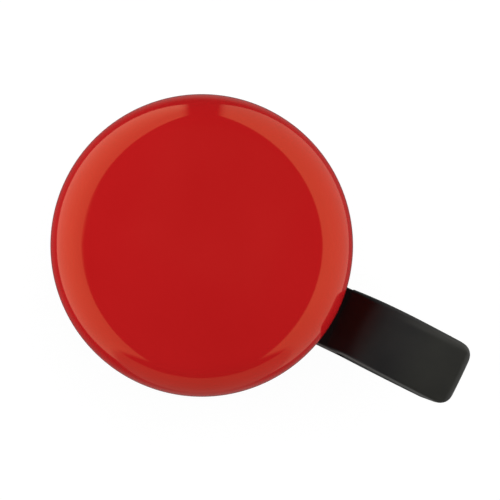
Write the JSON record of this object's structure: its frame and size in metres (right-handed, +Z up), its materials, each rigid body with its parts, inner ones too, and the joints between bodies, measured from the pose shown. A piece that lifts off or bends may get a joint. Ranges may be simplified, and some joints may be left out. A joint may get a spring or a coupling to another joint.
{
  "type": "bicycle bell",
  "caption": "Bicycle bell: a domed steel gong over a geared striker rotor, rung by a sprung thumb lever and held by a screwed handlebar clamp.",
  "frame": {"origin": "on the handlebar's axis, in the middle of the clamp's bore", "axes": "+X along the handlebar, +Y forwards across it, +Z up through the post and the crown of the dome"},
  "size_m": [0.0774, 0.0569, 0.0547],
  "materials": {
    "red_lacquer": "high-gloss red lacquer on steel",
    "black_plastic": "satin black moulded plastic",
    "zinc_steel": "bright zinc plate",
    "bright_steel": "plain pressed steel",
    "spring_steel": "drawn spring wire",
    "white_nylon": "natural moulded nylon",
    "black_rubber": "matte black rubber",
    "red_fibre": "vulcanised fibre"
  },
  "bodies": {
    "base": {"base_plate": "black_plastic", "centre_post": "zinc_steel", "rotor_washer": "zinc_steel", "post_nut": "zinc_steel", "clamp_saddle": "black_plastic", "saddle_liner": "black_rubber", "clamp_nut_front": "zinc_steel", "clamp_nut_rear": "zinc_steel", "idler_axle": "zinc_steel", "idler_clip": "spring_steel", "lever_pivot": "zinc_steel", "lever_washer": "zinc_steel", "return_spring": "spring_steel"},
    "lever": {"thumb_lever": "black_plastic"},
    "idler": {"idler_gear": "white_nylon"},
    "rotor": {"rotor_hub": "white_nylon", "rotor_arm": "bright_steel", "striker_pin_a": "zinc_steel", "striker_pin_b": "zinc_steel"},
    "striker_a": {"striker_a": "bright_steel"},
    "striker_b": {"striker_b": "bright_steel"},
    "dome_seat": {"seat_washer": "red_fibre"},
    "dome": {"dome": "red_lacquer", "dome_boss": "zinc_steel"},
    "strap": {"clamp_strap": "zinc_steel", "strap_liner": "black_rubber", "clamp_washer_front": "zinc_steel", "clamp_washer_rear": "zinc_steel"},
    "screw_front": {"clamp_screw_front": "zinc_steel"},
    "screw_rear": {"clamp_screw_rear": "zinc_steel"}
  },
  "joints": [
    {"name": "lever_press", "type": "hinge", "parent": "base", "child": "lever", "pos_m": [0.01254, -0.00162, 0.0183], "axis": [0, 0, 1], "range_deg": [0, 34], "stiffness_Nm_per_rad": 0.15, "springref_deg": -28.65, "deforming": ["return_spring"]},
    {"name": "idler_spin", "type": "hinge", "parent": "base", "child": "idler", "pos_m": [0.00554, 0.01209, 0.0183], "axis": [0, 0, 1], "range_deg": [-156, 3]},
    {"name": "rotor_spin", "type": "hinge", "parent": "base", "child": "rotor", "pos_m": [0, 0, 0.0241], "axis": [0, 0, 1], "range_deg": [-3, 336]},
    {"name": "striker_a_slide", "type": "slide", "parent": "rotor", "child": "striker_a", "axis": [-0.0384, 0.9993, 0], "range_m": [-0.0012, 0.0012]},
    {"name": "striker_b_slide", "type": "slide", "parent": "rotor", "child": "striker_b", "axis": [0.0384, -0.9993, 0], "range_m": [-0.0012, 0.0012]},
    {"name": "dome_rise", "type": "slide", "parent": "base", "child": "dome_seat", "axis": [0, 0, 1], "range_m": [0, 0.007]},
    {"name": "dome_turn", "type": "hinge", "parent": "dome_seat", "child": "dome", "pos_m": [0, 0, 0.02905], "axis": [0, 0, 1], "range_deg": [0, 3590]},
    {"name": "strap_open", "type": "slide", "parent": "base", "child": "strap", "axis": [0, 0, -1], "range_m": [0, 0.0056]},
    {"name": "screw_front_turn", "type": "hinge", "parent": "strap", "child": "screw_front", "pos_m": [0, 0.0178, -0.0034], "axis": [0, 0, -1], "range_deg": [0, 2881]},
    {"name": "screw_rear_turn", "type": "hinge", "parent": "strap", "child": "screw_rear", "pos_m": [0, -0.0178, -0.0034], "axis": [0, 0, -1], "range_deg": [0, 2881]}
  ],
  "couplings": [
    {"joint": "idler_spin", "follows": "lever_press", "ratio": -4.5},
    {"joint": "rotor_spin", "follows": "lever_press", "ratio": 9.75},
    {"joint": "dome_rise", "follows": "dome_turn", "m_per_rad": 0.00011141},
    {"joint": "screw_front_turn", "follows": "strap_open", "rad_per_m": 8976},
    {"joint": "screw_rear_turn", "follows": "strap_open", "rad_per_m": 8976}
  ]
}
